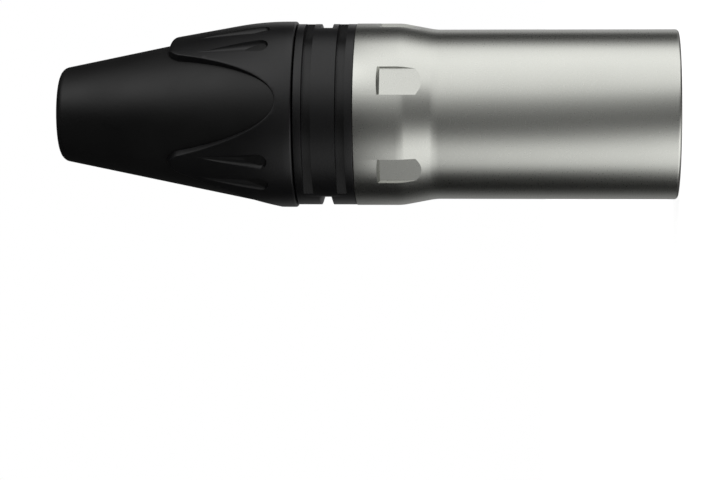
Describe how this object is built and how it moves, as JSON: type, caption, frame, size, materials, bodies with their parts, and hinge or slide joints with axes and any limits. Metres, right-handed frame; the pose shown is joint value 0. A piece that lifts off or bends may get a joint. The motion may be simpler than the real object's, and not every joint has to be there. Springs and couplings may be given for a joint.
{
  "type": "xlr plug",
  "caption": "Round cable plug with pin contacts in a metal barrel, a slotted coding ring and a scalloped boot nut that screws down a cable clamp.",
  "frame": {"origin": "centre of the open mouth, in the plane of the barrel's rim", "axes": "+Z runs along the plug's axis from the mouth to the cable end; -Y points to the side with the socket's key and latch recess, between contacts one and two; +X completes a right-handed frame"},
  "size_m": [0.0208, 0.0208, 0.0694],
  "materials": {
    "nickel_shell": "satin nickel on die-cast zinc",
    "insert_plastic": "fine matt moulding",
    "pin_silver": "silver-plated brass",
    "tab_metal": "tinned spring strip",
    "chuck_plastic": "smooth moulding",
    "ring_plastic": "satin moulding",
    "nut_plastic": "satin moulding with a fine grain",
    "gland_elastomer": "soft matt elastomer"
  },
  "bodies": {
    "plug": {"shell": "nickel_shell", "insert": "insert_plastic", "pin_1": "pin_silver", "pin_2": "pin_silver", "pin_3": "pin_silver", "earth_tab": "tab_metal", "coding_ring": "ring_plastic"},
    "clamp": {"cable_chuck": "chuck_plastic"},
    "boot": {"boot_nut": "nut_plastic", "boot_gland": "gland_elastomer"}
  },
  "joints": [
    {"name": "clamp_travel", "type": "slide", "parent": "plug", "child": "clamp", "axis": [0, 0, 1], "range_m": [0, 0.005]},
    {"name": "nut_spin", "type": "hinge", "parent": "clamp", "child": "boot", "pos_m": [0, 0, 0.0455], "axis": [0, 0, 1], "range_deg": [0, 1440]}
  ],
  "couplings": [
    {"joint": "clamp_travel", "follows": "nut_spin", "m_per_rad": 0.00019894}
  ]
}
